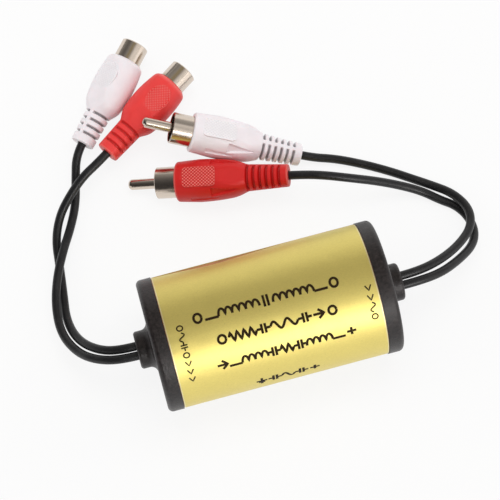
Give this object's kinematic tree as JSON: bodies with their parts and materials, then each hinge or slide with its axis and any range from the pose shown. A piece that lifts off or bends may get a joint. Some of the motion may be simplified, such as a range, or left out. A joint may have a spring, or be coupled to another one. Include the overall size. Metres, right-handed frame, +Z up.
{
  "type": "ground loop isolator",
  "caption": "Foil-wrapped tube with moulded end caps, cords to phono jacks at one end and phono plugs at the other, and isolating transformers inside; stops hum in an audio line.",
  "frame": {"origin": "on the floor under the middle of the tube", "axes": "+X along the tube from the jacks' end to the plugs' end, +Y to the connectors' side, +Z up"},
  "size_m": [0.129, 0.1154, 0.039],
  "materials": {
    "charcoal_plastic": "fine spark texture",
    "gold_foil": "satin metallised gold",
    "wound_paper": "matte, orange-brown",
    "board": "phenolic paper, matte",
    "lamination_steel": "bare stamped steel",
    "nylon": "natural, translucent white",
    "copper_winding": "enamelled copper wire",
    "tinned_wire": "bright tin",
    "lead_sleeve": "satin",
    "white_boot": "soft moulded, satin",
    "red_boot": "soft moulded, satin",
    "nickel": "bright nickel plate",
    "insulator": "matte white",
    "cord_jacket": "satin black"
  },
  "bodies": {
    "root": {"case_tube": "wound_paper", "foil_wrap": "gold_foil", "plug_end_cap": "charcoal_plastic", "jack_end_cap": "charcoal_plastic", "circuit_board": "board", "plug_end_leads": "lead_sleeve", "jack_end_leads": "lead_sleeve", "left_transformer_core": "lamination_steel", "left_transformer_bobbin": "nylon", "left_transformer_primary_winding": "copper_winding", "left_transformer_secondary_winding": "copper_winding", "left_transformer_terminals": "tinned_wire", "right_transformer_core": "lamination_steel", "right_transformer_bobbin": "nylon", "right_transformer_primary_winding": "copper_winding", "right_transformer_secondary_winding": "copper_winding", "right_transformer_terminals": "tinned_wire", "white_jack_boot": "white_boot", "white_jack_shell": "nickel", "white_jack_insulator": "insulator", "white_jack_contact": "nickel", "white_jack_cord": "cord_jacket", "white_plug_boot": "white_boot", "white_plug_collar": "nickel", "white_plug_insulator": "insulator", "white_plug_pin": "nickel", "white_plug_cord": "cord_jacket", "red_jack_boot": "red_boot", "red_jack_shell": "nickel", "red_jack_insulator": "insulator", "red_jack_contact": "nickel", "red_jack_cord": "cord_jacket", "red_plug_boot": "red_boot", "red_plug_collar": "nickel", "red_plug_insulator": "insulator", "red_plug_pin": "nickel", "red_plug_cord": "cord_jacket"}
  },
  "joints": []
}
